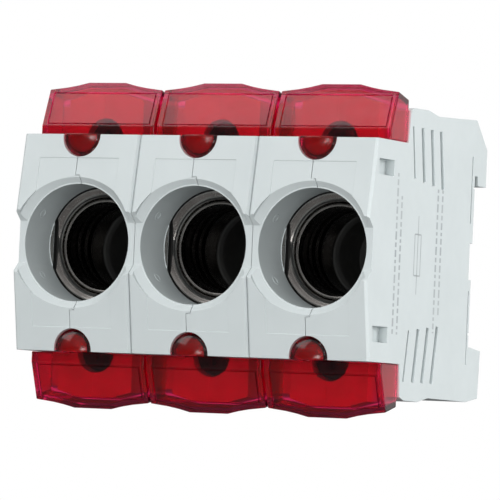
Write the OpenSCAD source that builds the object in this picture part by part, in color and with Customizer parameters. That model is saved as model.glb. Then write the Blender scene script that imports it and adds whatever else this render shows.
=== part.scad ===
// Three-pole fuse base for screw caps with an E18 thread, clipped to a 35 mm rail.
// Each pole is a box of two moulded halves around a threaded shell, a sprung foot
// contact and two box terminals. A clear red cover clips over each terminal.
// X runs across the poles, -Y out of the front, +Z up. The origin is on the rail seat.

/* [Poles] */
// Distance between the centre lines of neighbouring poles
pole_pitch = 27; // [27:0.1:29]
// Gap left between neighbouring housings
pole_gap = 0.1; // [0.05:0.05:0.3]

/* [Housing] */
// Distance from the rail seat to the plane of the bore rims
rim_out = 48.3; // [48.3:0.1:52]
// Half height of the front plate, for a 45 mm panel cut-out
plate_half = 22.4; // [22.3:0.1:22.5]
// Half height of the body behind the covers
body_half = 29.7; // [29.6:0.1:31]
// How far the two crests stand in front of the rim plane
crest_out = 2.3; // [1.5:0.1:2.6]
// Half height of the groove across the front, at its floor
groove_half = 4.3; // [3.8:0.1:5]
// Outer radius of the narrow flat ring around the bore's mouth
rim_r = 12.4; // [12.2:0.1:12.6]
// Radius of the half-round screwdriver notch in the plate's edge
notch_r = 4.3; // [4.1:0.1:4.5]
// Height of the terminal screws above and below the bore's axis
screw_z = 22; // [21.9:0.1:22.1]

/* [Cooling slots and coupling pockets] */
// Number of cooling slots in each group
slot_count = 4; // [2:1:4]
// Distance between the cooling slots
slot_pitch = 4.5; // [4:0.1:4.6]
// Width of a cooling slot
slot_w = 1.3; // [0.8:0.1:1.6]
// Lean of the cooling slots from the vertical
slot_lean = 9.5; // [6:0.5:10]
// Depth of the cooling slots
slot_deep = 1; // [0.5:0.1:1.2]

/* [Threaded shell] */
// Radius of the shell's inner wall
shell_r = 8.8; // [8.7:0.05:8.9]
// Wall of the shell
shell_wall = 0.7; // [0.5:0.1:0.8]
// Radius of the flared collar around the shell's mouth
collar_r = 11.9; // [11.5:0.1:12]
// Half width across the collar's two flats
collar_flat = 10.6; // [10.4:0.1:11]

/* [Contacts and terminals] */
// Thickness of the copper bars
bar_t = 1.5; // [1:0.1:1.5]
// Half width of the copper bars
bar_half = 3.9; // [3.5:0.1:3.9]
// Radius of the terminal screw's thread
screw_r = 2.5; // [2:0.1:2.5]
// How far a box clamp travels from open to shut
clamp_travel = 5.2; // [4:0.1:5.2]
// Radius of the wire entry
wire_r = 3.1; // [2.5:0.1:3.2]
// Radius of the foot contact's face
foot_r = 5; // [4.5:0.1:5]
// How far the foot contact gives under a fuse link
foot_travel = 1.6; // [1:0.1:1.6]
// Turns of the foot contact's spring
spring_turns = 4; // [3:0.5:5]

/* [Covers] */
// Wall of the covers
cover_wall = 1; // [0.8:0.1:1.1]
// Height of the pull tab's flat top above the bore's axis
tab_top = 33.85; // [33.4:0.05:34.5]
// Half width of the pull tab's flat top
tab_half = 4.3; // [3.5:0.1:5.5]

/* [Rail latches] */
// Half width of a rail latch
latch_half = 5; // [4:0.1:5]
// How far a latch is pulled down to free the rail
latch_travel = 3.5; // [2.5:0.1:3.5]

/* [Hidden] */
$fn = 96;
SIDES = ["top", "bottom"];

GREY = [0.83, 0.86, 0.86];
RED = [0.72, 0.05, 0.13, 0.75];
NICKEL = [0.55, 0.53, 0.52];
COPPER = [0.78, 0.55, 0.36];
STEEL = [0.72, 0.72, 0.7];
BLACK = [0.07, 0.07, 0.07];

// Planes across the depth, counted from the rail seat
rim_y = -rim_out;
edge_y = rim_y + 0.4;
crest_y = rim_y - crest_out;
collar_y = rim_y + 10.6;
lip_y = rim_y + 12.2;
turret_y = rim_y + 10.8;
step_y = rim_y + 15;
shell_end_y = rim_y + 27.5;
guide_y = rim_y + 28.2;
mouth_y = lip_y + 1.2;
bar_y = -23.8;
foot_bar_y = -6.8;
front_y = crest_y - 1;

// The housing
half_w = (pole_pitch - pole_gap) / 2;
crest_z = groove_half + 2.15;
slope = atan2(edge_y - crest_y, plate_half - crest_z);
turret_half = 8.7;
edge_chamfer = 0.35;
plate_seam_x = -0.45;
ring_seam_x = 0.6;
seam_step_z = 13.9;
rail_half = 17.5;
rail_t = 1;
hook_y = 5.7;
foot_y = 6.2;
channel_y = 1.2;
channel_end_y = 4.4;
lug_z = [-23, -21];

// The terminals
chamber_half_z = 5.5;
chamber_half_x = 6.3;
chamber_y = [-33.8, -14.1];
head_y = [-36.4, -33.9];
clamp_half_x = 6;
clamp_half_z = 4.6;
clamp_y = [chamber_y[0] + 0.2 + clamp_travel, -14.4];
clamp_wall = 1.4;
clamp_front = 2.5;
wire_y = (bar_y + bar_t + clamp_y[1] - clamp_wall) / 2;
tongue_end = 26.4;

// The foot contact
foot_cavity_y = -8.3;
foot_face_y = -12.4;
spring_y = [foot_face_y + foot_travel, foot_bar_y];
stem_r = 1.9;

// The covers
cover_half = pole_pitch / 2 - 0.25;
cover_low = plate_half + 0.1;
cover_y = rim_y + 6.9;
tab_y = rim_y + 10.5;
cover_back_y = rim_y + 14.7;
roof_fall = 14.5;

// A rod along Y from y0 to y1
module rod_y(r, y0, y1) {
    translate([0, y0, 0]) rotate([-90, 0, 0]) cylinder(r = r, h = y1 - y0);
}

// A rod along Z from z0 to z1
module rod_z(r, z0, z1) {
    translate([0, 0, z0]) cylinder(r = r, h = z1 - z0);
}

// A box from one corner to the opposite one
module block(low, high) {
    translate(low) cube(high - low);
}

// A box that is centred on X and spans the other two ranges
module slab(half_x, y_range, z_range) {
    block([-half_x, y_range[0], z_range[0]], [half_x, y_range[1], z_range[1]]);
}

// A side outline in Y and Z, extruded across X
module across(x0, x1) {
    translate([x0, 0, 0]) rotate([90, 0, 90]) linear_extrude(height = x1 - x0) children();
}

// A front outline in X and Z, extruded along Y
module through(y0, y1) {
    translate([0, y1, 0]) rotate([90, 0, 0]) linear_extrude(height = y1 - y0) children();
}

// An outline of radius and distance from the rail seat, turned about the bore's axis
module turned() {
    rotate([90, 0, 0]) rotate_extrude() children();
}

// The upper thing or its mirror image below the bore
module side(which) {
    if (which == "top") children();
    else mirror([0, 0, 1]) children();
}

module both_sides() {
    for (which = SIDES) side(which) children();
}

module at_pole(number) {
    translate([(number - 2) * pole_pitch, 0, 0]) children();
}

// ---- Housing ----

// Side outline of one pole: sloped front, stepped back above and below, hook and foot
module housing_outline() {
    shoulder = [[edge_y, plate_half], [step_y, plate_half], [step_y + 0.7, body_half - 0.6],
                [step_y + 2.6, body_half], [step_y + 9.2, body_half + 0.1],
                [step_y + 14.2, body_half - 0.8]];
    front = [[rim_y, groove_half], [crest_y, crest_z]];
    hook = [[0, body_half], [hook_y, 23.8], [hook_y, 16], [rail_t + 0.7, 16], [rail_t + 0.4, 18],
            [0, 18]];
    foot = [[0, -rail_half - 0.2], [1.1, -rail_half - 0.2], [foot_y, -18.3],
            [hook_y, 1.5 - body_half], [0, 0.6 - body_half]];
    polygon(concat(front, shoulder, hook, foot, flipped(shoulder), flipped(front)));
}

// The same points below the bore, in the opposite order
function flipped(points) = [for (i = [len(points) - 1:-1:0]) [points[i][0], -points[i][1]]];

// The narrow turret behind each cover, with a raised middle
module turret() {
    top_z = body_half + 1.8;
    through(turret_y, step_y + 2)
        polygon([[-turret_half, plate_half - 2], [-turret_half, top_z - 1.4], [-3.7, top_z],
                 [3.7, top_z], [turret_half, top_z - 1.4], [turret_half, plate_half - 2]]);
}

// The bore, its chamfered ring and the stepped room for shell, guide and foot contact
module well() {
    flange_room = [collar_y - 0.01, collar_y + 1.3];
    turned() polygon([[0, -front_y], [rim_r + 1.5, -front_y], [rim_r + 1.5, 1.4 - rim_y],
                      [rim_r + 0.85, 0.75 - rim_y], [rim_r, -rim_y], [rim_r - 0.3, -rim_y],
                      [rim_r - 0.2, -collar_y], [0, -collar_y]]);
    intersection() {
        rod_y(rim_r - 0.2, flange_room[0], flange_room[1]);
        slab(collar_flat + 0.65, flange_room, [-rim_r, rim_r]);
    }
    turned() polygon([[0, -flange_room[0]], [collar_r - 0.9, -flange_room[0]],
                      [collar_r - 0.9, -flange_room[1]], [shell_r + 1.7, -mouth_y],
                      [shell_r + 1.4, -guide_y], [0, -guide_y]]);
    rod_y(10.5, guide_y - 0.01, -8.2);
    rod_y(foot_r + 1.2, -8.3, -1.9);
}

// Room for the ring and tongues of the bars and for the riser behind them
module bar_room() {
    slack = 0.15;
    half = bar_half + slack;
    plane = [bar_y - slack, bar_y + bar_t + slack];
    foot_plane = [foot_bar_y - slack, foot_bar_y + bar_t + slack];
    rod_y(11.8, plane[0], plane[1]);
    slab(half, plane, [-screw_z, 0]);
    slab(half, plane, [13.3, screw_z]);
    slab(half, [plane[0], foot_plane[1]], [13.3, 13.6 + bar_t + slack]);
    slab(half, foot_plane, [-6, 13.6 + bar_t + slack]);
}

// One terminal's chamber, screwdriver notch and wire entry
module terminal_room() {
    slab(chamber_half_x, chamber_y, [screw_z - chamber_half_z, screw_z + chamber_half_z - 0.3]);
    translate([0, 0, screw_z]) rod_y(notch_r, front_y, chamber_y[0] + 0.01);
    translate([0, wire_y, 0]) rod_z(wire_r, screw_z, body_half + 1);
    translate([0, wire_y, body_half - 1.2]) cylinder(r1 = wire_r, r2 = wire_r + 1.6, h = 1.6);
}

// Slanted cooling slots in one side wall
module cooling_slots() {
    for (i = [0:slot_count - 1]) {
        width = i == 0 ? slot_w / 2 : slot_w;
        reach = 10.6 + 0.45 * i;
        translate([half_w, step_y + 2 + slot_pitch * i, 25.9]) rotate([slot_lean, 0, 0])
            block([-slot_deep, -width / 2, -reach], [1, width / 2, 0]);
    }
}

// A stepped pocket that takes half of a coupler
module coupling_pocket(slack) {
    translate([half_w, rim_y + 1.5, 16.8]) {
        block([-2, -slack, -1.6 - slack], [1, 7.1 + slack, 1.6 + slack]);
        block([-3.3, -slack, -1.1 - slack], [1, 4.2 + slack, 1.1 + slack]);
    }
}

// A shallow field for a label on the sloped plate, from the edge of the ring outward
module label_field() {
    translate([0, crest_y, crest_z]) rotate([-slope, 0, 0])
        block([-9.25, -1, 4], [9.25, 0.15, 11.2]);
}

// Chamfers along one long front edge
module edge_bevel() {
    translate([half_w, crest_y, crest_z]) rotate([-slope, 0, 0]) rotate([0, 0, 45])
        block([-edge_chamfer, -edge_chamfer, -1], [edge_chamfer, edge_chamfer, 18]);
}

// Hair lines and the screwdriver notch near the back of a side wall
module back_marks() {
    block([half_w - 0.4, -1.6, 8], [half_w + 1, -1.2, 22]);
    block([half_w - 0.4, -1.1, -21.4], [half_w + 1, -0.7, -6]);
    block([half_w - 1, -1.2, -3.7], [half_w + 1, 1, 3.9]);
}

module both_walls() {
    children();
    mirror([1, 0, 0]) children();
}

// Relief grooves that part the rail seat from the hook and from the latch's tip
module seat_relief() {
    slab(half_w + 1, [-0.4, 1], [15.3, 15.8]);
    slab(half_w + 1, [-0.4, 1], [-15.2, -14.7]);
}

// Outline of the left half's side of the parting plane, which steps over at the bore's ring
module left_region(grow) {
    plate_x = plate_seam_x + grow;
    ring_x = ring_seam_x + grow;
    through(front_y, 10)
        polygon([[-half_w - 1, -40], [plate_x, -40], [plate_x, grow - seam_step_z],
                 [ring_x, grow - seam_step_z], [ring_x, seam_step_z - grow],
                 [plate_x, seam_step_z - grow], [plate_x, 40], [-half_w - 1, 40]]);
}

// The fine groove that shows along the parting line on the front
module parting_groove() {
    intersection() {
        difference() {
            left_region(0.06);
            left_region(-0.06);
        }
        slab(2, [front_y, rim_y + 1], [-plate_half - 1, plate_half + 1]);
    }
}

// Pegs of the left half, and the holes for them in the right half
module pegs(r, length) {
    places = [[rim_y + 5.5, 15.4], [-8.5, 26.9]];
    both_sides()
        for (place = places)
            translate([-3, place[0], place[1]]) rotate([0, 90, 0]) cylinder(r = r, h = 3 + length);
}

// One whole pole before it is parted in two
module housing_body() {
    difference() {
        union() {
            across(-half_w, half_w) housing_outline();
            both_sides() turret();
        }
        well();
        bar_room();
        both_sides() {
            terminal_room();
            label_field();
            both_walls() {
                cooling_slots();
                coupling_pocket(0);
                edge_bevel();
            }
        }
        both_walls() back_marks();
        seat_relief();
        parting_groove();
        slab(latch_half + 0.1, [channel_y, channel_end_y], [-body_half - 1, 0.1 - rail_half]);
        slab(2.2, [channel_end_y - 0.1, foot_y + 1],
             [lug_z[0] - latch_travel - 0.1, lug_z[1] + 0.1]);
    }
}

module housing_left() {
    intersection() {
        housing_body();
        left_region(0);
    }
    pegs(1.1, 2.4);
}

module housing_right() {
    difference() {
        housing_body();
        left_region(0);
        pegs(1.15, 2.6);
    }
}

// A moulded coupler that locks two neighbouring poles together
module coupler(which) {
    slack = -0.06;
    side(which)
        for (flip = [0, 1]) mirror([flip, 0, 0]) translate([-half_w - pole_gap / 2, 0, 0])
            coupler_half(slack);
}

module coupler_half(slack) {
    y0 = rim_y + 1.5;
    reach = pole_gap / 2 + 0.01;
    translate([half_w + reach, y0, 16.8]) {
        block([-2 - reach - slack, -slack, -1.6 - slack], [0, 7.1 + slack, 1.6 + slack]);
        block([-3.3 - reach - slack, -slack, -1.1 - slack], [0, 4.2 + slack, 1.1 + slack]);
    }
}

// ---- Current path ----

// The threaded shell: tube with a rolled lip, and a flat-sided flange flared to the front
module shell() {
    outer = shell_r + shell_wall;
    lip = -lip_y;
    turned() polygon([[shell_r, -mouth_y], [shell_r + 0.25, lip - 0.4], [shell_r + 0.45, lip],
                      [outer + 0.1, lip], [outer + 0.3, lip - 0.4], [outer + 0.4, lip - 0.7],
                      [outer, -mouth_y - 0.3], [outer, -shell_end_y], [shell_r, -shell_end_y]]);
    intersection() {
        turned() polygon([[outer + 0.1, lip - 0.6], [outer + 0.5, lip - 0.4],
                          [collar_r - 1.1, -collar_y - 0.7], [collar_r, -collar_y - 0.3],
                          [collar_r, -collar_y - 0.8], [collar_r - 1.1, -collar_y - 1.2],
                          [outer + 0.1, -mouth_y]]);
        slab(collar_flat, [collar_y, mouth_y + 1], [-collar_r, collar_r]);
    }
}

// The moulded guide that centres a fuse link over the foot contact
module guide() {
    difference() {
        rod_y(10.4, guide_y, foot_cavity_y);
        rod_y(7.9, guide_y - 1, foot_cavity_y - 1.3);
        rod_y(foot_r + 0.4, guide_y, foot_cavity_y + 1);
    }
}

// The sprung foot contact: wide face, stem through the bar and a collar behind it
module foot_contact() {
    rod_y(foot_r, foot_face_y, spring_y[0]);
    rod_y(stem_r, foot_face_y + 0.1, foot_bar_y + bar_t + 1);
    rod_y(3, foot_bar_y + bar_t + 0.05, foot_bar_y + bar_t + 1.3);
}

// A round wire swept along a helix about Y, between the contact's face and the bar
module foot_spring() {
    wire = 0.35;
    coil_r = 3.2;
    sides = 6;
    steps = 20 * spring_turns;
    rise = spring_y[1] - spring_y[0] - 2 * wire - 0.1;
    points = [for (i = [0:steps], j = [0:sides - 1])
        let (turn = 360 * spring_turns * i / steps,
             round = 360 * j / sides,
             radius = coil_r + wire * cos(round))
        [radius * cos(turn), spring_y[0] + 0.05 + wire + rise * i / steps + wire * sin(round),
         radius * sin(turn)]];
    walls = [for (i = [0:steps - 1], j = [0:sides - 1])
        let (k = (j + 1) % sides)
        [i * sides + j, i * sides + k, (i + 1) * sides + k, (i + 1) * sides + j]];
    start = [for (j = [sides - 1:-1:0]) j];
    finish = [for (j = [0:sides - 1]) steps * sides + j];
    polyhedron(points, concat(walls, [start], [finish]));
}

// The bar from the foot contact, round behind the guide, to the upper terminal
module line_bar() {
    riser = [13.6, 13.6 + bar_t];
    difference() {
        slab(bar_half, [foot_bar_y, foot_bar_y + bar_t], [-5, riser[1]]);
        rod_y(stem_r + 0.05, foot_bar_y - 1, 0);
    }
    slab(bar_half, [bar_y, foot_bar_y + bar_t], riser);
    slab(bar_half, [bar_y, bar_y + bar_t], [riser[0], tongue_end]);
}

// The bar from the threaded shell to the lower terminal
module load_bar() {
    difference() {
        union() {
            rod_y(11.6, bar_y, bar_y + bar_t);
            slab(bar_half, [bar_y, bar_y + bar_t], [-tongue_end, -9]);
        }
        rod_y(shell_r + shell_wall + 0.02, bar_y - 1, bar_y + bar_t + 1);
    }
}

// The box clamp, open, with the screw's thread in its front wall
module clamp() {
    inner = [clamp_y[0] + clamp_front, clamp_y[1] - clamp_wall];
    height = [screw_z - clamp_half_z, screw_z + clamp_half_z];
    difference() {
        slab(clamp_half_x, clamp_y, height);
        slab(clamp_half_x - clamp_wall, inner, [0, 2 * screw_z]);
        translate([0, 0, screw_z]) rod_y(screw_r + 0.05, clamp_y[0] - 1, inner[0] + 0.1);
    }
}

// A terminal screw with a cross recess, its tip against the tongue
module terminal_screw() {
    recess = 1.5;
    translate([0, 0, screw_z]) difference() {
        union() {
            rod_y(3.9, head_y[0], head_y[1]);
            rod_y(screw_r, head_y[1] - 0.1, bar_y - 0.05);
        }
        slab(2.4, [head_y[0] - 1, head_y[0] + recess], [-0.5, 0.5]);
        slab(0.5, [head_y[0] - 1, head_y[0] + recess], [-2.4, 2.4]);
    }
}

// ---- Covers ----

// Side outline of a cover: upright skirt, sloped panel, steep tab and the back edge
module cover_outline(inset) {
    polygon([[cover_y + inset, cover_low - inset], [cover_y + inset, 24.6],
             [cover_y + inset + 2.8, 32.1], [tab_y + inset, tab_top + 1],
             [cover_back_y + inset, tab_top + 1], [cover_back_y + inset, cover_low - inset]]);
}

// Roof of a cover: a pull tab with hollow flanks, falling to the back
module cover_roof(inset) {
    half = cover_half - inset;
    flank = [[tab_half, 0], [tab_half + 2.6, -0.65], [tab_half + 5, -1.1],
             [tab_half + 7.2, -1.4], [half, -1.6]];
    right = [for (point = flank) [point[0], point[1] - inset]];
    left = [for (i = [len(flank) - 1:-1:0]) [-flank[i][0], flank[i][1] - inset]];
    translate([0, tab_y, tab_top]) rotate([-roof_fall, 0, 0]) through(-9, 9)
        polygon(concat(right, [[half, -25], [-half, -25]], left));
}

module cover_form(inset) {
    intersection() {
        across(inset - cover_half, cover_half - inset) cover_outline(inset);
        cover_roof(inset);
    }
}

// The domed plug that closes the screwdriver notch
module cover_plug() {
    plug_r = notch_r - 0.1;
    back_y = cover_y + cover_wall;
    apex_y = rim_y - 0.8;
    dome_r = 7.5;
    difference() {
        intersection() {
            translate([0, 0, screw_z]) rod_y(plug_r, apex_y, back_y);
            translate([0, apex_y + dome_r, screw_z]) sphere(r = dome_r);
            slab(plug_r + 1, [apex_y - 1, back_y + 1], [0, cover_low]);
        }
        translate([0, 0, screw_z]) rod_y(plug_r - cover_wall, rim_y + 0.8, cover_y);
    }
}

module cover() {
    difference() {
        cover_form(0);
        cover_form(cover_wall);
    }
    cover_plug();
}

// ---- Rail latch ----

// The latch that hooks behind the rail's lower edge, with a slot to pull it down by
module rail_latch() {
    tip_z = 2.1 - rail_half;
    end_z = -28.8;
    front = channel_y + 0.1;
    back = channel_end_y - 0.1;
    difference() {
        union() {
            across(-latch_half, latch_half)
                polygon([[front, end_z], [back, end_z], [back, tip_z - 2.6],
                         [front + 1, tip_z], [front, tip_z]]);
            slab(2, [back - 0.1, foot_y - 0.6], lug_z);
        }
        slab(2.6, [front - 1, back + 1], [end_z + 1, end_z + 2.2]);
    }
}

// ---- One module for each node ----

module housing_left_1() { color(GREY) at_pole(1) housing_left(); }
module housing_right_1() { color(GREY) at_pole(1) housing_right(); }
module housing_left_2() { color(GREY) at_pole(2) housing_left(); }
module housing_right_2() { color(GREY) at_pole(2) housing_right(); }
module housing_left_3() { color(GREY) at_pole(3) housing_left(); }
module housing_right_3() { color(GREY) at_pole(3) housing_right(); }
module coupler_12_top() { color(GREY) at_pole(1.5) coupler("top"); }
module coupler_12_bottom() { color(GREY) at_pole(1.5) coupler("bottom"); }
module coupler_23_top() { color(GREY) at_pole(2.5) coupler("top"); }
module coupler_23_bottom() { color(GREY) at_pole(2.5) coupler("bottom"); }
module shell_1() { color(NICKEL) at_pole(1) shell(); }
module shell_2() { color(NICKEL) at_pole(2) shell(); }
module shell_3() { color(NICKEL) at_pole(3) shell(); }
module guide_1() { color(BLACK) at_pole(1) guide(); }
module guide_2() { color(BLACK) at_pole(2) guide(); }
module guide_3() { color(BLACK) at_pole(3) guide(); }
module foot_contact_1() { color(COPPER) at_pole(1) foot_contact(); }
module foot_contact_2() { color(COPPER) at_pole(2) foot_contact(); }
module foot_contact_3() { color(COPPER) at_pole(3) foot_contact(); }
module foot_spring_1() { color(STEEL) at_pole(1) foot_spring(); }
module foot_spring_2() { color(STEEL) at_pole(2) foot_spring(); }
module foot_spring_3() { color(STEEL) at_pole(3) foot_spring(); }
module line_bar_1() { color(COPPER) at_pole(1) line_bar(); }
module line_bar_2() { color(COPPER) at_pole(2) line_bar(); }
module line_bar_3() { color(COPPER) at_pole(3) line_bar(); }
module load_bar_1() { color(COPPER) at_pole(1) load_bar(); }
module load_bar_2() { color(COPPER) at_pole(2) load_bar(); }
module load_bar_3() { color(COPPER) at_pole(3) load_bar(); }
module clamp_top_1() { color(STEEL) at_pole(1) side("top") clamp(); }
module clamp_top_2() { color(STEEL) at_pole(2) side("top") clamp(); }
module clamp_top_3() { color(STEEL) at_pole(3) side("top") clamp(); }
module clamp_bottom_1() { color(STEEL) at_pole(1) side("bottom") clamp(); }
module clamp_bottom_2() { color(STEEL) at_pole(2) side("bottom") clamp(); }
module clamp_bottom_3() { color(STEEL) at_pole(3) side("bottom") clamp(); }
module screw_top_1() { color(STEEL) at_pole(1) side("top") terminal_screw(); }
module screw_top_2() { color(STEEL) at_pole(2) side("top") terminal_screw(); }
module screw_top_3() { color(STEEL) at_pole(3) side("top") terminal_screw(); }
module screw_bottom_1() { color(STEEL) at_pole(1) side("bottom") terminal_screw(); }
module screw_bottom_2() { color(STEEL) at_pole(2) side("bottom") terminal_screw(); }
module screw_bottom_3() { color(STEEL) at_pole(3) side("bottom") terminal_screw(); }
module cover_top_1() { color(RED) at_pole(1) side("top") cover(); }
module cover_top_2() { color(RED) at_pole(2) side("top") cover(); }
module cover_top_3() { color(RED) at_pole(3) side("top") cover(); }
module cover_bottom_1() { color(RED) at_pole(1) side("bottom") cover(); }
module cover_bottom_2() { color(RED) at_pole(2) side("bottom") cover(); }
module cover_bottom_3() { color(RED) at_pole(3) side("bottom") cover(); }
module rail_latch_1() { color(GREY) at_pole(1) rail_latch(); }
module rail_latch_2() { color(GREY) at_pole(2) rail_latch(); }
module rail_latch_3() { color(GREY) at_pole(3) rail_latch(); }

housing_left_1();
housing_right_1();
housing_left_2();
housing_right_2();
housing_left_3();
housing_right_3();
coupler_12_top();
coupler_12_bottom();
coupler_23_top();
coupler_23_bottom();
shell_1();
shell_2();
shell_3();
guide_1();
guide_2();
guide_3();
foot_contact_1();
foot_contact_2();
foot_contact_3();
foot_spring_1();
foot_spring_2();
foot_spring_3();
line_bar_1();
line_bar_2();
line_bar_3();
load_bar_1();
load_bar_2();
load_bar_3();
clamp_top_1();
clamp_top_2();
clamp_top_3();
clamp_bottom_1();
clamp_bottom_2();
clamp_bottom_3();
screw_top_1();
screw_top_2();
screw_top_3();
screw_bottom_1();
screw_bottom_2();
screw_bottom_3();
cover_top_1();
cover_top_2();
cover_top_3();
cover_bottom_1();
cover_bottom_2();
cover_bottom_3();
rail_latch_1();
rail_latch_2();
rail_latch_3();
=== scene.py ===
"""Three-pole fuse base: finished surfaces, detailed pieces, soft studio light and the camera."""
import math

import bmesh
import bpy
from mathutils import Matrix, Vector


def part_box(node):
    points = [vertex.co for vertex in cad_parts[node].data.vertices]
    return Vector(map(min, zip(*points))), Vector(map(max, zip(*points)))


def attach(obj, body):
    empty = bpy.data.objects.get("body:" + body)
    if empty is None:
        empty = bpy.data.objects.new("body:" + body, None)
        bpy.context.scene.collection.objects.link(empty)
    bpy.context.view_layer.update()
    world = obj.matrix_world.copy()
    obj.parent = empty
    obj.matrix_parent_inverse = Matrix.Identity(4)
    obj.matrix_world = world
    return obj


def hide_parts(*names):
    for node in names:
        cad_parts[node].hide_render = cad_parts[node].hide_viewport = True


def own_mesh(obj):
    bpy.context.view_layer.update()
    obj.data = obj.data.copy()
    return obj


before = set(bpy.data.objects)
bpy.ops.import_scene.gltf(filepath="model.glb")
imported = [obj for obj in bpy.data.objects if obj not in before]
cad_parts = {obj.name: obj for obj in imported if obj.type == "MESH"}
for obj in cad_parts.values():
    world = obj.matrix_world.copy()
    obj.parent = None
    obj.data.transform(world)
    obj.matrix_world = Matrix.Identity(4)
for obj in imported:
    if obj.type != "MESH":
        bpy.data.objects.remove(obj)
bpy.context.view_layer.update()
scene = bpy.context.scene

MM = 0.001
TURN = 2 * math.pi
POLES = (1, 2, 3)
SIDES = ("top", "bottom")


# ---- Places, measured from the frame ----

def pole_x(pole):
    """The middle of a pole across X."""
    low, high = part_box(f"shell_{pole}")
    return (low.x + high.x) / 2


SHELL_LOW, SHELL_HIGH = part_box("shell_2")
GUIDE_LOW, GUIDE_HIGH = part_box("guide_2")
CONTACT_LOW, CONTACT_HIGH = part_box("foot_contact_2")
SPRING_LOW, SPRING_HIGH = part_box("foot_spring_2")
LOAD_BAR_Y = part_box("load_bar_2")[0].y
SIDE_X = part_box("housing_right_3")[1].x
# The plane of the bores' rims lies behind the crests of the front plate
RIM_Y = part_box("housing_left_2")[0].y + 2.3 * MM
# The ledge in the well lies just in front of the shell's flange
LEDGE_Y = SHELL_LOW.y - 0.3 * MM
FLANGE_HALF = SHELL_HIGH.x - pole_x(2)
TERMINAL_Z = 22 * MM


# ---- Node helpers ----

def new_material(name):
    material = bpy.data.materials.new(name)
    material.use_nodes = True
    return material, material.node_tree, material.node_tree.nodes["Principled BSDF"]


def noise(tree, size, detail=3.0, stretch=(1, 1, 1)):
    """Noise over the object whose lumps are about size metres wide."""
    place = tree.nodes.new("ShaderNodeTexCoord")
    scale = tree.nodes.new("ShaderNodeMapping")
    scale.inputs["Scale"].default_value = stretch
    texture = tree.nodes.new("ShaderNodeTexNoise")
    texture.inputs["Scale"].default_value = 1 / size
    texture.inputs["Detail"].default_value = detail
    tree.links.new(place.outputs["Object"], scale.inputs["Vector"])
    tree.links.new(scale.outputs["Vector"], texture.inputs["Vector"])
    return texture.outputs["Fac"]


def map_range(tree, value, start, end, low=0.0, high=1.0):
    """Low at start, high at end, even between them and held beyond them."""
    node = tree.nodes.new("ShaderNodeMapRange")
    node.inputs["From Min"].default_value = start
    node.inputs["From Max"].default_value = end
    node.inputs["To Min"].default_value = low
    node.inputs["To Max"].default_value = high
    tree.links.new(value, node.inputs["Value"])
    return node.outputs["Result"]


def spread(tree, value, low=0.0, high=1.0):
    """The middle part of a noise value, where nearly all of it lies, spread over low to high."""
    return map_range(tree, value, 0.3, 0.7, low, high)


def blend(tree, share, first, second):
    """Mixes two colours; the first may also be another node's output."""
    node = tree.nodes.new("ShaderNodeMix")
    node.data_type = "RGBA"
    if isinstance(first, tuple):
        node.inputs["A"].default_value = (*first, 1)
    else:
        tree.links.new(first, node.inputs["A"])
    node.inputs["B"].default_value = (*second, 1)
    tree.links.new(share, node.inputs["Factor"])
    return node.outputs["Result"]


def blend_by_depth(tree, colour, beyond, start, end):
    """One colour up to the Y plane at start and another beyond end, for the object at rest."""
    place = tree.nodes.new("ShaderNodeTexCoord")
    parts = tree.nodes.new("ShaderNodeSeparateXYZ")
    tree.links.new(place.outputs["Object"], parts.inputs["Vector"])
    return blend(tree, map_range(tree, parts.outputs["Y"], start, end), colour, beyond)


def bump(tree, value, strength, height, below=None):
    node = tree.nodes.new("ShaderNodeBump")
    node.inputs["Strength"].default_value = strength
    node.inputs["Distance"].default_value = height
    tree.links.new(value, node.inputs["Height"])
    if below is not None:
        tree.links.new(below, node.inputs["Normal"])
    return node.outputs["Normal"]


def larger(tree, first, second):
    node = tree.nodes.new("ShaderNodeMath")
    node.operation = "MAXIMUM"
    tree.links.new(first, node.inputs[0])
    tree.links.new(second, node.inputs[1])
    return node.outputs["Value"]


def connect(tree, shader, tone, rough, normal):
    tree.links.new(tone, shader.inputs["Base Color"])
    tree.links.new(rough, shader.inputs["Roughness"])
    tree.links.new(normal, shader.inputs["Normal"])


# ---- Materials ----

def moulded_plastic(name, colour, cloud, roughness):
    """Matt moulding: faint cloudiness, shallow waves and fine grain."""
    material, tree, shader = new_material(name)
    tone = blend(tree, spread(tree, noise(tree, 9 * MM)), colour, cloud)
    rough = spread(tree, noise(tree, 2.5 * MM), roughness - 0.05, roughness + 0.07)
    waves = bump(tree, noise(tree, 4 * MM, 1), strength=0.12, height=0.05 * MM)
    grain = bump(tree, noise(tree, 0.16 * MM, 2), strength=0.12, height=0.03 * MM, below=waves)
    connect(tree, shader, tone, rough, grain)
    shader.inputs["IOR"].default_value = 1.5
    return material


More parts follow.
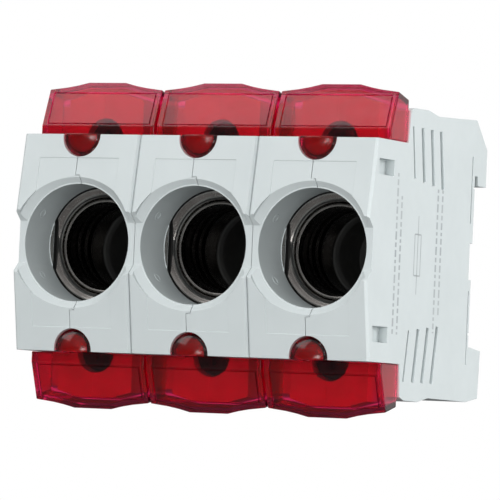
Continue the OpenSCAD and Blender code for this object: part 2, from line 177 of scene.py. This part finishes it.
def clear_red(name):
    """Polished clear plastic with faint flow marks; the plug is painted a darker, purer red than
    the panel, as painted shade of the dark hole behind it.
    """
    material, tree, shader = new_material(name)
    panel = blend(tree, spread(tree, noise(tree, 6 * MM)), (0.60, 0.012, 0.088),
                  (0.67, 0.017, 0.106))
    # Painted shade: the plug in front of the panel takes a darker red that stands for the dark
    # hole behind it
    tone = blend_by_depth(tree, panel, (0.58, 0.008, 0.045), RIM_Y + 7.0 * MM, RIM_Y + 5.5 * MM)
    rough = spread(tree, noise(tree, 1.8 * MM), 0.05, 0.2)
    flow = bump(tree, noise(tree, 1.5 * MM, 2, (1, 1, 0.35)), strength=0.25, height=0.04 * MM)
    grain = bump(tree, noise(tree, 0.35 * MM, 2), strength=0.1, height=0.02 * MM, below=flow)
    connect(tree, shader, tone, rough, grain)
    shader.inputs["Transmission Weight"].default_value = 1.0
    shader.inputs["IOR"].default_value = 1.49
    # Shadow rays pass straight through, so the lamps light what lies behind the cover
    passing = tree.nodes.new("ShaderNodeBsdfTransparent")
    passing.inputs["Color"].default_value = (0.85, 0.04, 0.13, 1)
    path = tree.nodes.new("ShaderNodeLightPath")
    mix = tree.nodes.new("ShaderNodeMixShader")
    tree.links.new(path.outputs["Is Shadow Ray"], mix.inputs["Fac"])
    tree.links.new(shader.outputs["BSDF"], mix.inputs[1])
    tree.links.new(passing.outputs["BSDF"], mix.inputs[2])
    tree.links.new(mix.outputs["Shader"], tree.nodes["Material Output"].inputs["Surface"])
    return material


def metal(name, colour, dull, roughness, drawn=(1, 1, 1), bore_shade=None):
    """Metal of uneven tone with fine lines; bore_shade is painted shade, a darker colour for the
    shell deeper in its bore than the flange.
    """
    material, tree, shader = new_material(name)
    tone = blend(tree, spread(tree, noise(tree, 3 * MM)), colour, dull)
    # Painted shade: the shell darkens deeper in the bore, behind its flange
    if bore_shade is not None:
        tone = blend_by_depth(tree, tone, bore_shade, SHELL_LOW.y + 1.9 * MM, SHELL_LOW.y + 2.6 * MM)
    rough = spread(tree, noise(tree, 0.8 * MM, 4, drawn), roughness - 0.05, roughness + 0.1)
    lines = bump(tree, noise(tree, 0.25 * MM, 3, drawn), strength=0.08, height=0.02 * MM)
    connect(tree, shader, tone, rough, lines)
    shader.inputs["Metallic"].default_value = 1.0
    return material


GREY = moulded_plastic("grey_moulding", (0.52, 0.565, 0.57), (0.50, 0.545, 0.55), roughness=0.45)
BLACK = moulded_plastic("black_moulding", (0.012, 0.012, 0.012), (0.02, 0.02, 0.019),
                        roughness=0.5)
RED = clear_red("clear_red")
CORE = moulded_plastic("frosted_red", (0.27, 0.003, 0.014), (0.21, 0.002, 0.010), roughness=0.4)
# The third colour is painted shade deep inside the shell's bore
NICKEL = metal("dark_nickel", (0.42, 0.395, 0.375), (0.31, 0.29, 0.275), roughness=0.2,
               drawn=(1, 6, 1), bore_shade=(0.13, 0.125, 0.118))
BRASS = metal("plain_brass", (0.60, 0.42, 0.22), (0.46, 0.31, 0.17), roughness=0.34,
              drawn=(6, 1, 1))
SILVER = metal("silvered_contact", (0.42, 0.40, 0.38), (0.35, 0.33, 0.31), roughness=0.3)
BLACK_ZINC = metal("black_zinc", (0.05, 0.048, 0.047), (0.03, 0.029, 0.028), roughness=0.32)
ZINC = metal("zinc_plate", (0.58, 0.58, 0.56), (0.46, 0.46, 0.45), roughness=0.3,
             drawn=(1, 1, 6))
INK = moulded_plastic("print_ink", (0.30, 0.33, 0.345), (0.38, 0.41, 0.42), roughness=0.6)


# ---- Scene and mesh helpers ----

def linked(name, data):
    """A new object in the scene."""
    item = bpy.data.objects.new(name, data)
    scene.collection.objects.link(item)
    return item


def add_piece(name, mesh, material, body, *stands_for):
    """A finished mesh as a piece of a body, in place of CAD nodes if any are named."""
    piece = linked(name, mesh)
    mesh.materials.clear()
    mesh.materials.append(material)
    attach(piece, body)
    if stands_for:
        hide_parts(*stands_for)
    return piece


def new_mesh(name, shape, outward=True):
    """Turns a bmesh into a mesh and frees it."""
    if outward:
        bmesh.ops.recalc_face_normals(shape, faces=shape.faces)
    mesh = bpy.data.meshes.new(name)
    shape.to_mesh(mesh)
    shape.free()
    return mesh


def opened(mesh):
    """A bmesh with a mesh's contents."""
    shape = bmesh.new()
    shape.from_mesh(mesh)
    return shape


def stored(shape, mesh):
    shape.to_mesh(mesh)
    shape.free()


def bridge(shape, rows, around=False):
    """Quads from each closed row of corners to the next; around joins the last to the first."""
    following = rows[1:] + rows[:1] if around else rows[1:]
    for first, second in zip(rows, following):
        for k in range(len(first)):
            shape.faces.new((first[k - 1], first[k], second[k], second[k - 1]))


def capped(shape, rows):
    """Quads between rows and a flat face over each end."""
    bridge(shape, rows)
    shape.faces.new(rows[0])
    shape.faces.new(rows[-1][::-1])


def shade(mesh, sharp_degrees=35):
    """Smooth shading, kept sharp over edges that turn by more than the given angle."""
    shape = opened(mesh)
    for face in shape.faces:
        face.smooth = True
    for edge in shape.edges:
        edge.smooth = (len(edge.link_faces) == 2
                       and edge.calc_face_angle() < math.radians(sharp_degrees))
    stored(shape, mesh)


def applied(piece):
    """The mesh that an object's modifiers make."""
    bpy.context.view_layer.update()
    evaluated = piece.evaluated_get(bpy.context.evaluated_depsgraph_get())
    result = bpy.data.meshes.new_from_object(evaluated)
    piece.modifiers.clear()
    return result


def add_cut(piece, cutter):
    """Adds a Boolean cut to an object and returns it with the cutter's object."""
    tool = linked("cutter", cutter)
    cut = piece.modifiers.new("cut", "BOOLEAN")
    cut.object = tool
    return cut, tool


def eased(node, width, segments=2, angle=30, cutter=None):
    """A copy of a CAD node's mesh with its edges rounded over, and grooves cut in it if asked."""
    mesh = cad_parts[node].data.copy()
    shape = opened(mesh)
    bmesh.ops.remove_doubles(shape, verts=shape.verts, dist=0.002 * MM)
    bmesh.ops.dissolve_limit(shape, angle_limit=math.radians(1.5), verts=shape.verts,
                             edges=shape.edges)
    for face in shape.faces:
        face.smooth = True
    stored(shape, mesh)
    helper = linked("helper", mesh)
    bevel = helper.modifiers.new("ease", "BEVEL")
    bevel.width = width
    bevel.segments = segments
    bevel.limit_method = "ANGLE"
    bevel.angle_limit = math.radians(angle)
    bevel.use_clamp_overlap = False
    tools = []
    if cutter is not None:
        tools.append(add_cut(helper, cutter)[1])
    evened = helper.modifiers.new("evened", "WEIGHTED_NORMAL")
    evened.keep_sharp = True
    evened.weight = 100
    result = applied(helper)
    for item in (helper, *tools):
        bpy.data.objects.remove(item)
    return result


def ring_mesh(name, rows, centre_x, closed=True):
    """A surface through rows of (radius, y) points, each row a full turn about Y.

    The last row joins the first if closed; otherwise both end rows are capped."""
    shape = bmesh.new()
    turns = []
    for row in rows:
        count = len(row)
        turns.append([shape.verts.new((centre_x + r * math.cos(TURN * i / count), y,
                                       r * math.sin(TURN * i / count)))
                      for i, (r, y) in enumerate(row)])
    if closed:
        bridge(shape, turns, around=True)
    else:
        capped(shape, turns)
    return new_mesh(name, shape)


def lathe(name, profile, centre_x, closed=True, steps=96):
    """A turned part: profile points are (radius, y) in metres."""
    mesh = ring_mesh(name, [[point] * steps for point in profile], centre_x, closed)
    shade(mesh)
    return mesh


def arc(centre, radius, start, end, count):
    """Profile points on an arc; angles in degrees, 0 outward, 90 to the back."""
    points = []
    for i in range(count + 1):
        angle = math.radians(start + (end - start) * i / count)
        points.append((centre[0] + radius * math.cos(angle),
                       centre[1] + radius * math.sin(angle)))
    return points


def rounded(profile, radius, count=4):
    """A closed profile with each corner replaced by a small curve."""
    points = []
    total = len(profile)
    for i, corner in enumerate(profile):
        corner = Vector(corner)
        before = Vector(profile[i - 1]) - corner
        after = Vector(profile[(i + 1) % total]) - corner
        reach = min(radius, before.length * 0.45, after.length * 0.45)
        start = corner + before.normalized() * reach
        end = corner + after.normalized() * reach
        for k in range(count + 1):
            t = k / count
            points.append(tuple(start * (1 - t) ** 2 + corner * 2 * t * (1 - t) + end * t * t))
    return points


def cut_off(mesh, point, outward):
    """Cuts a closed mesh off flat beyond a plane and closes the cut."""
    shape = opened(mesh)
    bmesh.ops.bisect_plane(shape, geom=shape.verts[:] + shape.edges[:] + shape.faces[:],
                           plane_co=point, plane_no=outward, clear_outer=True)
    bmesh.ops.holes_fill(shape, edges=[e for e in shape.edges if e.is_boundary])
    stored(shape, mesh)


def cut_sides(mesh, centre_x, half_width):
    """Cuts a closed mesh off flat on both sides of a pole's middle."""
    for sign in (-1, 1):
        cut_off(mesh, (centre_x + sign * half_width, 0, 0), (sign, 0, 0))


# ---- Housing halves, couplers and latches ----

def dress_housing():
    for pole in POLES:
        for half in ("left", "right"):
            node = f"housing_{half}_{pole}"
            add_piece(f"{node}_moulding", eased(node, 0.07 * MM), GREY, "base", node)
    for pair in ("12", "23"):
        for side in SIDES:
            node = f"coupler_{pair}_{side}"
            add_piece(f"{node}_moulding", eased(node, 0.15 * MM), GREY, "base", node)
    for pole in POLES:
        node = f"rail_latch_{pole}"
        add_piece(f"{node}_moulding", eased(node, 0.25 * MM), GREY, node, node)


def ejector_ring(name, centre, normal, radius, wire):
    """A thin raised ring moulded on a surface, half as high as its wire is thick."""
    across = Vector((0, 0, 1)).cross(normal).normalized()
    up = Vector(normal).cross(across)
    steps, sides = 32, 8
    shape = bmesh.new()
    rows = []
    for i in range(steps):
        turn = TURN * i / steps
        out = across * math.cos(turn) + up * math.sin(turn)
        rows.append([shape.verts.new(centre + out * (radius + wire * math.cos(TURN * k / sides))
                                     + normal * wire * 0.5 * math.sin(TURN * k / sides))
                     for k in range(sides)])
    bridge(shape, rows, around=True)
    mesh = new_mesh(name, shape)
    shade(mesh, 60)
    add_piece(name, mesh, GREY, "base")


def dress_wells():
    """Small raised ejector rings on the wall of each well."""
    wall = 12.1 * MM
    for pole in POLES:
        for label, depth, degrees in (("upper", 4.2, 150), ("lower", 4.6, 213)):
            turn = math.radians(degrees)
            out = Vector((math.cos(turn), 0, math.sin(turn)))
            centre = Vector((pole_x(pole), RIM_Y + depth * MM, 0)) + out * wall
            ejector_ring(f"ejector_ring_{label}_{pole}", centre, -out, 0.85 * MM, 0.12 * MM)


# ---- Threaded shells ----

def dress_shell(pole):
    """Drawn shell: round E18 thread, rolled lip, and a beaded flange with flat sides."""
    name = f"threaded_shell_{pole}"
    x = pole_x(pole)
    inner, outer = 8.8 * MM, 9.5 * MM
    front, end = SHELL_LOW.y, SHELL_HIGH.y
    lip = front + 1.3 * MM
    mouth = lip + 1.2 * MM
    pitch, depth = 3 * MM, 0.16 * MM
    plain, fade_in, fade_out = 2 * MM, 1.5 * MM, 1.2 * MM
    thread_end = LOAD_BAR_Y - 0.8 * MM
    steps, wall_steps = 144, 44

    def thread(y, turn):
        fade = min(1, max(0, (y - mouth - plain) / fade_in), max(0, (thread_end - y) / fade_out))
        return depth * fade * math.cos(TURN * ((y - mouth) / pitch - turn))

    wall = [mouth + (end - mouth) * i / wall_steps for i in range(wall_steps + 1)]
    roll = 0.38 * MM
    rows = [[(inner + thread(y, i / steps), y) for i in range(steps)] for y in reversed(wall)]
    rows += [[point] * steps for point in arc((9.45 * MM, lip + roll), roll, 180, 360, 10)]
    rows += [[(outer + thread(y, i / steps), y) for i in range(steps)] for y in wall]
    tube = ring_mesh("tube", rows, x)

    # Radius and depth behind the flange's front, in millimetres
    face = [(9.95, 1.75), (10.15, 1.35), (10.35, 1.2), (10.75, 0.62), (10.95, 0.5), (11.2, 0.46),
            (11.75, 0.2), (11.9, 0.02)]
    thickness = 0.5
    profile = [(r * MM, front + d * MM) for r, d in face]
    profile += [(r * MM, front + (d + thickness) * MM) for r, d in reversed(face)]
    flange = lathe("flange", profile, x, steps=steps)
    cut_sides(flange, x, FLANGE_HALF)

    shape = opened(tube)
    shape.from_mesh(flange)
    mesh = new_mesh(name, shape, outward=False)
    shade(mesh, 40)
    add_piece(name, mesh, NICKEL, "base", f"shell_{pole}")


def dress_shade_skin(pole):
    """Thin black skin round and behind the flange: painted shade that makes the gap beside it
    dark.
    """
    name = f"flange_shade_skin_{pole}"
    x = pole_x(pole)
    front, back = LEDGE_Y + 0.03 * MM, LEDGE_Y + 1.28 * MM
    wall, inner, flat, skin = 12.18 * MM, 10.2 * MM, 11.22 * MM, 0.06 * MM
    outline = [(wall, front), (wall, back), (inner, back), (inner, back - skin),
               (wall - skin, back - skin), (wall - skin, front)]
    ring = lathe("ring", outline, x)
    cut_sides(ring, x, flat)
    shape = opened(ring)
    reach = math.sqrt(wall ** 2 - flat ** 2)
    for sign in (-1, 1):
        side = bmesh.ops.create_cube(shape, size=1)["verts"]
        bmesh.ops.scale(shape, vec=(skin, back - front, 2 * reach), verts=side)
        middle = (x + sign * (flat - skin / 2), (front + back) / 2, 0)
        bmesh.ops.translate(shape, vec=middle, verts=side)
    mesh = new_mesh(name, shape, outward=False)
    shade(mesh)
    # A black sheet as painted shade in the gap round the flange
    add_piece(name, mesh, BLACK, "base")


def dress_cheeks(pole):
    """Thin nickel cheeks on the well's ledge beside the flange's flats."""
    name = f"flange_cheeks_{pole}"
    x = pole_x(pole)
    front, back = LEDGE_Y - 0.06 * MM, LEDGE_Y - 0.005 * MM
    radius, chord = 12.02 * MM, 11.27 * MM
    half = math.acos(chord / radius)
    steps = 8
    turns = [half * (i / steps - 1) for i in range(2 * steps + 1)]
    shape = bmesh.new()
    for sign in (-1, 1):
        capped(shape, [[shape.verts.new((x + sign * radius * math.cos(turn), y,
                                         radius * math.sin(turn))) for turn in turns]
                       for y in (front, back)])
    mesh = new_mesh(name, shape)
    shade(mesh)
    add_piece(name, mesh, NICKEL, "base")


# ---- Guides, foot contacts and springs ----

def dress_guide(pole):
    """Funnel that centres the fuse link over the foot contact."""
    front, back = GUIDE_LOW.y, GUIDE_HIGH.y
    floor = back - 1.3 * MM
    outline = [(10.4 * MM, front), (10.4 * MM, back), (5.4 * MM, back), (5.4 * MM, floor),
               (7.9 * MM, floor), (7.9 * MM, front + 0.9 * MM), (8.6 * MM, front)]
    mesh = lathe("guide", rounded(outline, 0.35 * MM), pole_x(pole))
    add_piece(f"guide_ring_{pole}", mesh, BLACK, "base", f"guide_{pole}")


def dress_contact(pole):
    """Domed contact button on a collared stem."""
    face, back = CONTACT_LOW.y, CONTACT_HIGH.y
    plate_back = face + 1.6 * MM
    collar = back - 1.25 * MM
    outline = [(0.4 * MM, face + 0.02 * MM), (3.6 * MM, face), (4.6 * MM, face + 0.25 * MM),
               (5.0 * MM, face + 0.8 * MM), (4.9 * MM, plate_back), (1.9 * MM, plate_back),
               (1.9 * MM, collar), (3.0 * MM, collar + 0.1 * MM), (3.0 * MM, back - 0.3 * MM),
               (2.5 * MM, back), (0.4 * MM, back)]
    mesh = lathe("contact", outline, pole_x(pole), closed=False)
    add_piece(f"contact_button_{pole}", mesh, SILVER, f"foot_contact_{pole}",
              f"foot_contact_{pole}")


def dress_spring(pole):
    """Coil spring of round wire whose end turns rise more slowly, so that they lie flat."""
    x = pole_x(pole)
    wire = 0.35 * MM
    coil = (SPRING_HIGH.x - SPRING_LOW.x) / 2 - wire
    start, end = SPRING_LOW.y + wire, SPRING_HIGH.y - wire
    turns, per_turn, sides = 4, 40, 10
    flat_share = 0.06
    shape = bmesh.new()
    rows = []
    for i in range(turns * per_turn + 1):
        share = i / (turns * per_turn)
        lift = min(1, max(0, (share - flat_share) / (1 - 2 * flat_share)))
        turn = TURN * turns * share
        out = Vector((math.cos(turn), 0, math.sin(turn)))
        centre = Vector((x, start + (end - start) * lift, 0)) + out * coil
        rows.append([shape.verts.new(centre + out * wire * math.cos(TURN * k / sides)
                                     + Vector((0, wire * math.sin(TURN * k / sides), 0)))
                     for k in range(sides)])
    capped(shape, rows)
    mesh = new_mesh("spring", shape)
    shade(mesh, 60)
    piece = add_piece(f"contact_spring_{pole}", mesh, ZINC, "base", f"foot_spring_{pole}")
    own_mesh(piece)


# ---- Bars, clamps and screws ----

def dress_bars(pole):
    for node in (f"line_bar_{pole}", f"load_bar_{pole}"):
        add_piece(f"{node}_strip", eased(node, 0.2 * MM), BRASS, "base", node)


def dress_clamp(side, pole):
    node = f"clamp_{side}_{pole}"
    add_piece(f"{node}_box", eased(node, 0.35 * MM, segments=3), ZINC, node, node)


def rectangle(shape, centre, along, across, half_along, half_across):
    """The four corners of a rectangle, as new corners of a bmesh."""
    return [shape.verts.new(centre + along * half_along * a + across * half_across * b)
            for a, b in ((-1, -1), (1, -1), (1, 1), (-1, 1))]


def cross_cutter(centre, face, depth):
    """Two crossed blades, narrower towards their tips, that cut a screw's recess."""
    shape = bmesh.new()
    for along in (Vector((1, 0, 0)), Vector((0, 0, 1))):
        across = Vector((0, 1, 0)).cross(along)
        capped(shape, [rectangle(shape, Vector((centre.x, y, centre.z)), along, across, reach,
                                 half)
                       for y, reach, half in ((face - 0.5 * MM, 2.3 * MM, 0.5 * MM),
                                              (face + depth, 1.1 * MM, 0.32 * MM))])
    return new_mesh("cutter", shape)


def dress_screw(side, pole):
    """Cheese-head terminal screw with a rounded rim, cross recess and M5 thread."""
    node = f"screw_{side}_{pole}"
    low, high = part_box(node)
    centre = (low + high) / 2
    head_r = (high.x - low.x) / 2
    neck = low.y + 2.5 * MM
    pitch, core, depth = 0.8 * MM, 2.28, 0.2
    chamfer_long, chamfer_deep = 0.6 * MM, 0.4
    steps, rises = 48, 72
    head = [(0.3 * MM, low.y), (head_r - 0.5 * MM, low.y), (head_r - 0.15 * MM, low.y + 0.2 * MM),
            (head_r, low.y + 0.6 * MM), (head_r, neck - 0.15 * MM), (head_r - 0.15 * MM, neck)]
    rows = [[point] * steps for point in head]
    for k in range(rises + 1):
        y = neck + (high.y - neck) * k / rises
        full = min(1, (high.y - y) / chamfer_long)
        rows.append([((core + depth * full * math.cos(TURN * ((y - neck) / pitch - i / steps))
                       - chamfer_deep * (1 - full)) * MM, y) for i in range(steps)])
    mesh = ring_mesh(node, rows, 0, closed=False)
    mesh.transform(Matrix.Translation((centre.x, 0, centre.z)))
    helper = linked("helper", mesh)
    recess, cutter = add_cut(helper, cross_cutter(centre, low.y, 1.5 * MM))
    recess.use_self = True
    result = applied(helper)
    bpy.data.objects.remove(helper)
    bpy.data.objects.remove(cutter)
    shade(result, 32)
    add_piece(f"{node}_m5", result, BLACK_ZINC, node, node)


# ---- Covers ----

def panel_groove(x, sign):
    """A closed frame that cuts a hair groove round a cover's sloping front panel."""
    foot = Vector((0, RIM_Y + 6.9 * MM, sign * 24.6 * MM))
    head = Vector((0, RIM_Y + 9.7 * MM, sign * 32.1 * MM))
    up = (head - foot).normalized()
    out = Vector((0, -abs(up.z), sign * up.y))
    middle = Vector((x, 0, 0)) + (foot + head) / 2
    half_x, half_up = 12.1 * MM, (head - foot).length / 2 - 0.35 * MM
    width, above, below = 0.3 * MM, 0.3 * MM, -0.35 * MM
    shape = bmesh.new()
    rows = [rectangle(shape, middle + out * height, Vector((1, 0, 0)), up, half_x - inset,
                      half_up - inset)
            for inset, height in ((0, above), (width, above), (width, below), (0, below))]
    bridge(shape, rows, around=True)
    return new_mesh("panel_groove", shape)


def plug_core(side, pole):
    """Frosted red core in the hollow of a cover's domed plug, flat towards the panel."""
    sign = 1 if side == "top" else -1
    front = RIM_Y + 1.0 * MM
    outline = [(0.3 * MM, front), (1.7 * MM, front + 0.15 * MM), (2.6 * MM, front + 0.5 * MM),
               (3.05 * MM, front + 1.0 * MM), (3.05 * MM, front + 2.2 * MM),
               (0.3 * MM, front + 2.2 * MM)]
    mesh = lathe("core", outline, pole_x(pole), closed=False, steps=64)
    mesh.transform(Matrix.Translation((0, 0, sign * TERMINAL_Z)))
    cut_off(mesh, (0, 0, sign * (TERMINAL_Z + 0.3 * MM)), (0, 0, sign))
    shade(mesh)
    add_piece(f"plug_core_{side}_{pole}", mesh, CORE, f"cover_{side}_{pole}")


def dress_cover(side, pole):
    node = f"cover_{side}_{pole}"
    sign = 1 if side == "top" else -1
    groove = panel_groove(pole_x(pole), sign)
    mesh = eased(node, 0.22 * MM, segments=3, angle=20, cutter=groove)
    add_piece(f"{node}_clear", mesh, RED, node, node)


# ---- Unlettered print on the side ----

def strip(shape, start, end, width):
    """A flat printed line just off the side face, from start to end in (y, z) millimetres."""
    a, b = Vector(start), Vector(end)
    across = Vector((-(b - a).y, (b - a).x)).normalized() * width / 2
    x = SIDE_X + 0.01 * MM
    corners = [a + across, b + across, b - across, a - across]
    shape.faces.new([shape.verts.new((x, corner.x * MM, corner.y * MM)) for corner in corners])


def dress_side():
    """A plain fuse symbol and unlettered rows of print marks, in (y, z) millimetres."""
    shape = bmesh.new()
    line, bold, gap = 0.3, 0.75, 0.55
    middle_y, half, reach, tail = -27.0, 1.5, 4.2, 8
    corners = [(middle_y - half, -reach), (middle_y + half, -reach), (middle_y + half, reach),
               (middle_y - half, reach)]
    for first, second in zip(corners, corners[1:] + corners[:1]):
        strip(shape, first, second, line)
    strip(shape, (middle_y, -tail), (middle_y, tail), line)
    for row_y, low_z, high_z in ((-37.5, -16.5, 16.0), (-35.4, -16.5, 11.5), (-18.0, -15.5, 14.0),
                                 (-15.8, -12.0, 14.0)):
        z = high_z
        mark = 0
        while z > low_z:
            length = 0.7 + 0.25 * ((mark * 7) % 5)
            strip(shape, (row_y, z), (row_y, max(low_z, z - length)), bold)
            z -= length + gap
            mark += 1
    add_piece("side_print", new_mesh("side_print", shape, outward=False), INK, "base")


# ---- Camera, floor and light ----

def direction(azimuth, elevation):
    """The way to a place seen from the object; azimuth 0 is in front and 90 to the right."""
    return Vector((math.sin(azimuth) * math.cos(elevation),
                   -math.cos(azimuth) * math.cos(elevation), math.sin(elevation)))


def add_camera():
    """The photograph's viewpoint: right of the front, a little below the axis, rolled slightly."""
    azimuth, elevation, roll = (math.radians(angle) for angle in (26.867, -2.381, 2.534))
    distance, shift_right, shift_down = 0.984633, 0.011639, 0.000984
    back = direction(azimuth, elevation)
    level = Vector((math.cos(azimuth), math.sin(azimuth), 0))
    upright = back.cross(level)
    right = level * math.cos(roll) + upright * math.sin(roll)
    up = upright * math.cos(roll) - level * math.sin(roll)
    place = Vector((0, RIM_Y, 0)) + back * distance + right * shift_right - up * shift_down
    data = bpy.data.cameras.new("camera")
    data.sensor_width = 36
    data.lens = 348.9
    data.clip_start, data.clip_end = 0.05, 20
    scene.camera = linked("camera", data)
    scene.camera.matrix_world = Matrix(((right.x, up.x, back.x, place.x),
                                        (right.y, up.y, back.y, place.y),
                                        (right.z, up.z, back.z, place.z), (0, 0, 0, 1)))


def add_light(name, azimuth, elevation, distance, size, power, mirrored=False):
    """A square soft box that faces the object, seen in its reflections only if mirrored."""
    place = distance * direction(math.radians(azimuth), math.radians(elevation))
    data = bpy.data.lights.new(name, "AREA")
    data.size = size
    data.energy = power
    light = linked(name, data)
    light.visible_glossy = mirrored
    light.location = place
    light.rotation_euler = (-place).to_track_quat("-Z", "Y").to_euler()


def add_floor():
    """Pale paper well below the object, plain white to the camera."""
    shape = bmesh.new()
    bmesh.ops.create_grid(shape, x_segments=8, y_segments=8, size=4)
    mesh = new_mesh("floor", shape, outward=False)
    floor = linked("floor", mesh)
    floor.location.z = -0.16
    material, tree, shader = new_material("floor_paper")
    paper = blend(tree, noise(tree, 0.4), (0.12, 0.12, 0.12), (0.14, 0.14, 0.14))
    tree.links.new(paper, shader.inputs["Base Color"])
    shader.inputs["Roughness"].default_value = 0.9
    shader.inputs["Emission Color"].default_value = (1, 1, 1, 1)
    path = tree.nodes.new("ShaderNodeLightPath")
    tree.links.new(path.outputs["Is Camera Ray"], shader.inputs["Emission Strength"])
    mesh.materials.append(material)


def add_world():
    """White to the camera; for the object dim, and brighter from above, behind and the right."""
    world = bpy.data.worlds.new("studio")
    world.use_nodes = True
    scene.world = world
    tree = world.node_tree
    surround = tree.nodes["Background"]
    surround.inputs["Color"].default_value = (1, 1, 1, 1)
    way = tree.nodes.new("ShaderNodeTexCoord")
    parts = tree.nodes.new("ShaderNodeSeparateXYZ")
    tree.links.new(way.outputs["Generated"], parts.inputs["Vector"])
    strength = tree.nodes.new("ShaderNodeLightPath").outputs["Is Camera Ray"]
    for axis, start, end, low, high in (("Z", 0.05, 0.75, 0.12, 0.5), ("Y", -0.1, 0.4, 0.1, 0.9),
                                        ("X", 0.55, 0.95, 0.1, 0.5)):
        slope = map_range(tree, parts.outputs[axis], start, end, low, high)
        strength = larger(tree, strength, slope)
    tree.links.new(strength, surround.inputs["Strength"])


dress_housing()
dress_wells()
for number in POLES:
    dress_shell(number)
    dress_shade_skin(number)
    dress_cheeks(number)
    dress_guide(number)
    dress_contact(number)
    dress_spring(number)
    dress_bars(number)
    for level in SIDES:
        dress_clamp(level, number)
        dress_screw(level, number)
        dress_cover(level, number)
        plug_core(level, number)
dress_side()

scene.view_settings.view_transform = "Standard"
add_camera()
add_floor()
add_world()
add_light("key", azimuth=10, elevation=14, distance=1.2, size=0.9, power=5.5)
add_light("low", azimuth=14, elevation=0, distance=1.2, size=0.28, power=6)
add_light("flank", azimuth=102, elevation=8, distance=1.2, size=0.7, power=11)
add_light("top", azimuth=0, elevation=80, distance=1.2, size=0.9, power=2.5)
add_light("sky", azimuth=-54, elevation=42, distance=1.3, size=0.9, power=4.5, mirrored=True)
add_light("glint", azimuth=62, elevation=-12, distance=0.5, size=0.12, power=0.3, mirrored=True)
